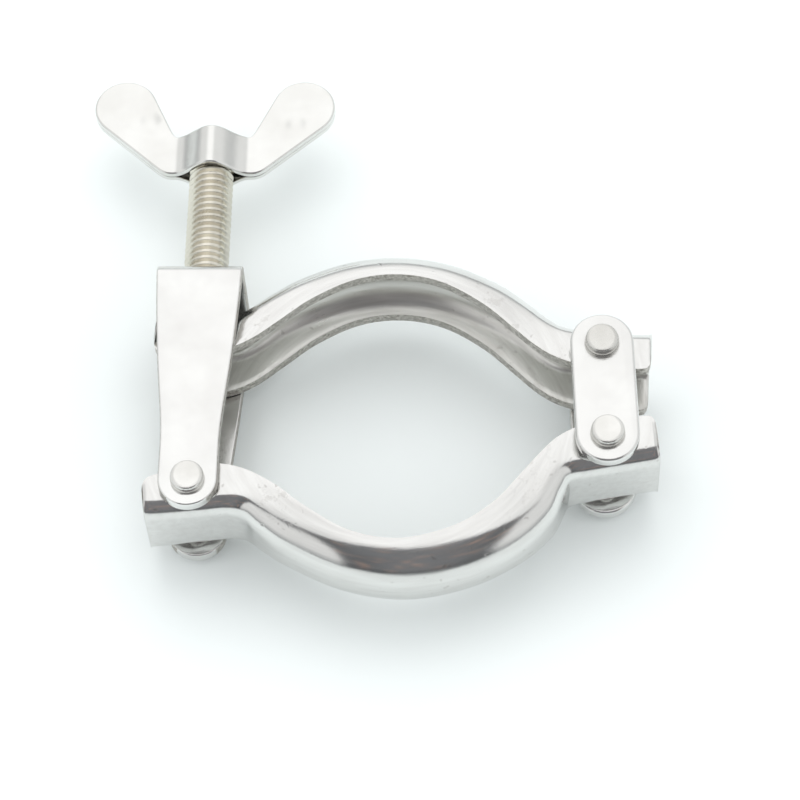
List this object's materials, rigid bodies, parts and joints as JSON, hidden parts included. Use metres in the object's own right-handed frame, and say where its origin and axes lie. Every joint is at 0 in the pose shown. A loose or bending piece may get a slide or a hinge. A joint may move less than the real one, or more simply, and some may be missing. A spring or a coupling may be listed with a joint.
{
  "type": "sanitary hinged clamp",
  "caption": "Round hinged clamp with pressed channel jaws, link hinge and a swing yoke tightened by a wing screw, for joining two flanged tube ferrules.",
  "frame": {"origin": "centre of the clamp bore, on the middle plane of the clamp", "axes": "+Z along the tube axis, +X towards the link hinge through the two rivets of the lower jaw, +Y towards the upper jaw and the wing screw"},
  "size_m": [0.093, 0.1066, 0.0248],
  "materials": {
    "jaw_steel": "polished stainless steel with fine polishing lines",
    "link_steel": "smooth tumbled stainless steel",
    "rivet_steel": "satin, with pressed head",
    "yoke_steel": "smooth tumbled stainless steel",
    "washer_steel": "satin turned steel",
    "screw_steel": "rolled thread, slightly warm grey",
    "wing_steel": "smooth pressed sheet"
  },
  "bodies": {
    "lower_jaw": {"lower_jaw": "jaw_steel"},
    "hinge_links": {"link_front": "link_steel", "link_back": "link_steel", "hinge_pin_lower": "rivet_steel", "hinge_pin_upper": "rivet_steel"},
    "upper_jaw": {"upper_jaw": "jaw_steel"},
    "yoke": {"yoke": "yoke_steel", "yoke_pin": "rivet_steel"},
    "thrust_washer": {"thrust_washer": "washer_steel"},
    "wing_screw": {"clamp_screw": "screw_steel", "wing_front": "wing_steel", "wing_back": "wing_steel"}
  },
  "joints": [
    {"name": "link_swing", "type": "hinge", "parent": "lower_jaw", "child": "hinge_links", "pos_m": [0.0354, -0.01165, 0], "axis": [0, 0, 1], "range_deg": [0, 8]},
    {"name": "jaw_swing", "type": "hinge", "parent": "hinge_links", "child": "upper_jaw", "pos_m": [0.03681, 0.00584, 0], "axis": [0, 0, 1], "range_deg": [-21, 0]},
    {"name": "yoke_swing", "type": "hinge", "parent": "lower_jaw", "child": "yoke", "pos_m": [-0.0354, -0.01165, 0], "axis": [0, 0, 1], "range_deg": [0, 150]},
    {"name": "screw_travel", "type": "slide", "parent": "yoke", "child": "thrust_washer", "axis": [0.1253, 0.9921, 0], "range_m": [-0.0035, 0]},
    {"name": "screw_turn", "type": "hinge", "parent": "thrust_washer", "child": "wing_screw", "pos_m": [-0.03059, 0.02645, 0], "axis": [0.1253, 0.9921, 0], "range_deg": [-1008, 0]}
  ],
  "couplings": [
    {"joint": "jaw_swing", "follows": "yoke_swing", "ratio": -0.14},
    {"joint": "screw_travel", "follows": "screw_turn", "m_per_rad": 0.00019894}
  ]
}
